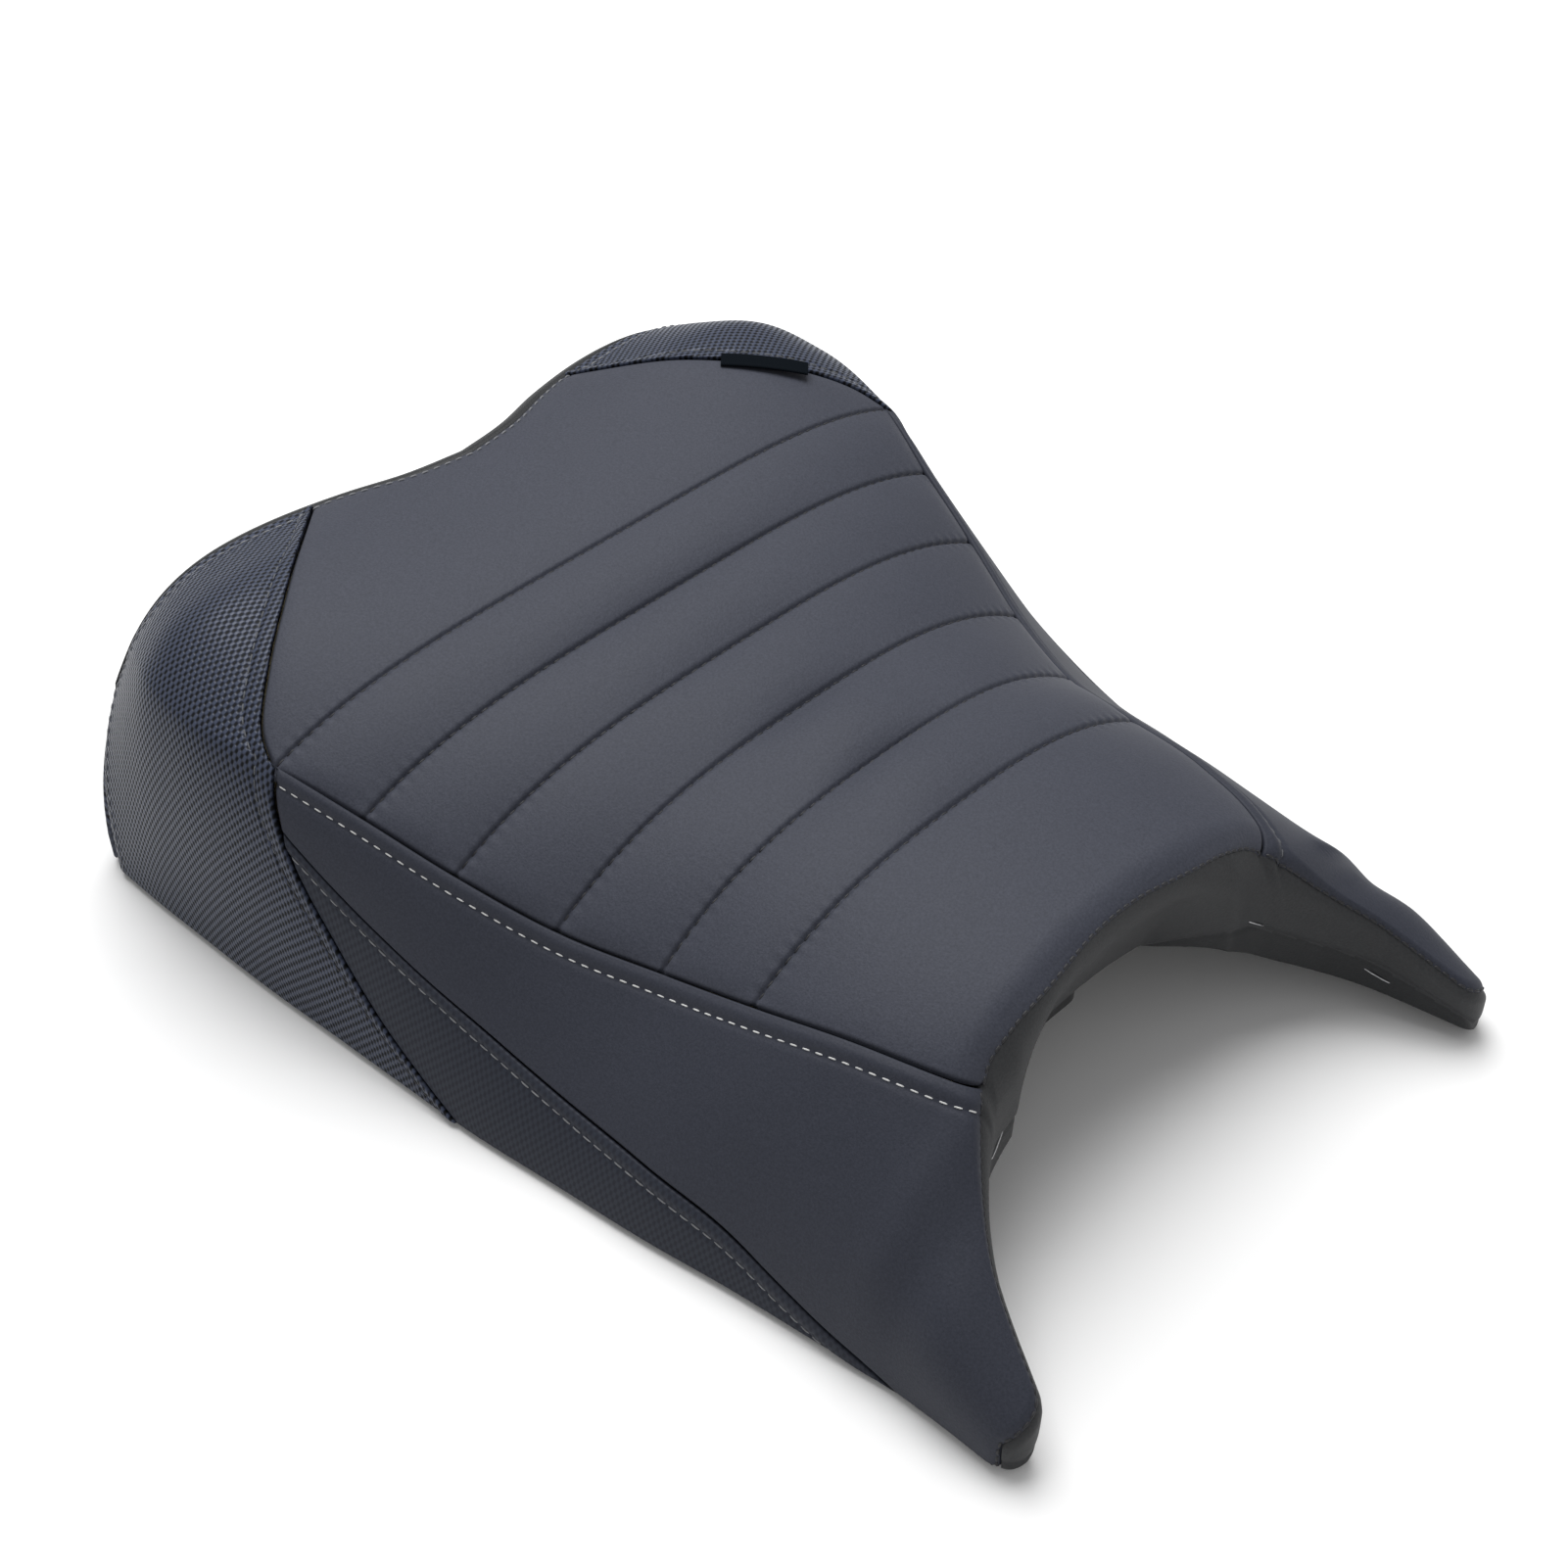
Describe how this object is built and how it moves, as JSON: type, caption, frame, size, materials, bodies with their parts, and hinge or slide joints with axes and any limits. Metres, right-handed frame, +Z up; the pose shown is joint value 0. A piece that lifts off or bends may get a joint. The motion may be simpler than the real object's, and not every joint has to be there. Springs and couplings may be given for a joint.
{
  "type": "motorcycle seat",
  "caption": "Rider's motorcycle seat with a quilted top, stitched sides, woven-look corners and a tank notch, on a moulded pan with a front tongue and a rear tab.",
  "frame": {"origin": "on the ground under the middle of the seat's length and width", "axes": "+X towards the tank, +Y to the rider's left, +Z up"},
  "size_m": [0.4273, 0.3484, 0.1252],
  "materials": {
    "vinyl": "matte",
    "weave": "satin",
    "wadding": "matte",
    "foam": "matte",
    "pan": "matte",
    "wire": "satin",
    "steel": "satin",
    "rivet": "satin",
    "label": "satin",
    "buffer": "matte"
  },
  "bodies": {
    "root": {"buffer_front_left": "buffer", "buffer_front_right": "buffer", "buffer_middle_left": "buffer", "buffer_middle_right": "buffer", "buffer_rear_left": "buffer", "buffer_rear_right": "buffer", "corner_panel_left": "weave", "corner_panel_right": "weave", "cover_staples": "wire", "foam_cushion": "foam", "front_band": "vinyl", "front_tongue": "steel", "lower_trim_left": "weave", "lower_trim_right": "weave", "quilt_wadding": "wadding", "rear_band": "vinyl", "rear_tab": "steel", "seat_pan": "pan", "side_label": "label", "side_panel_left": "vinyl", "side_panel_right": "vinyl", "tab_rivets": "rivet", "tongue_rivets": "rivet", "top_panel": "vinyl"}
  },
  "joints": []
}
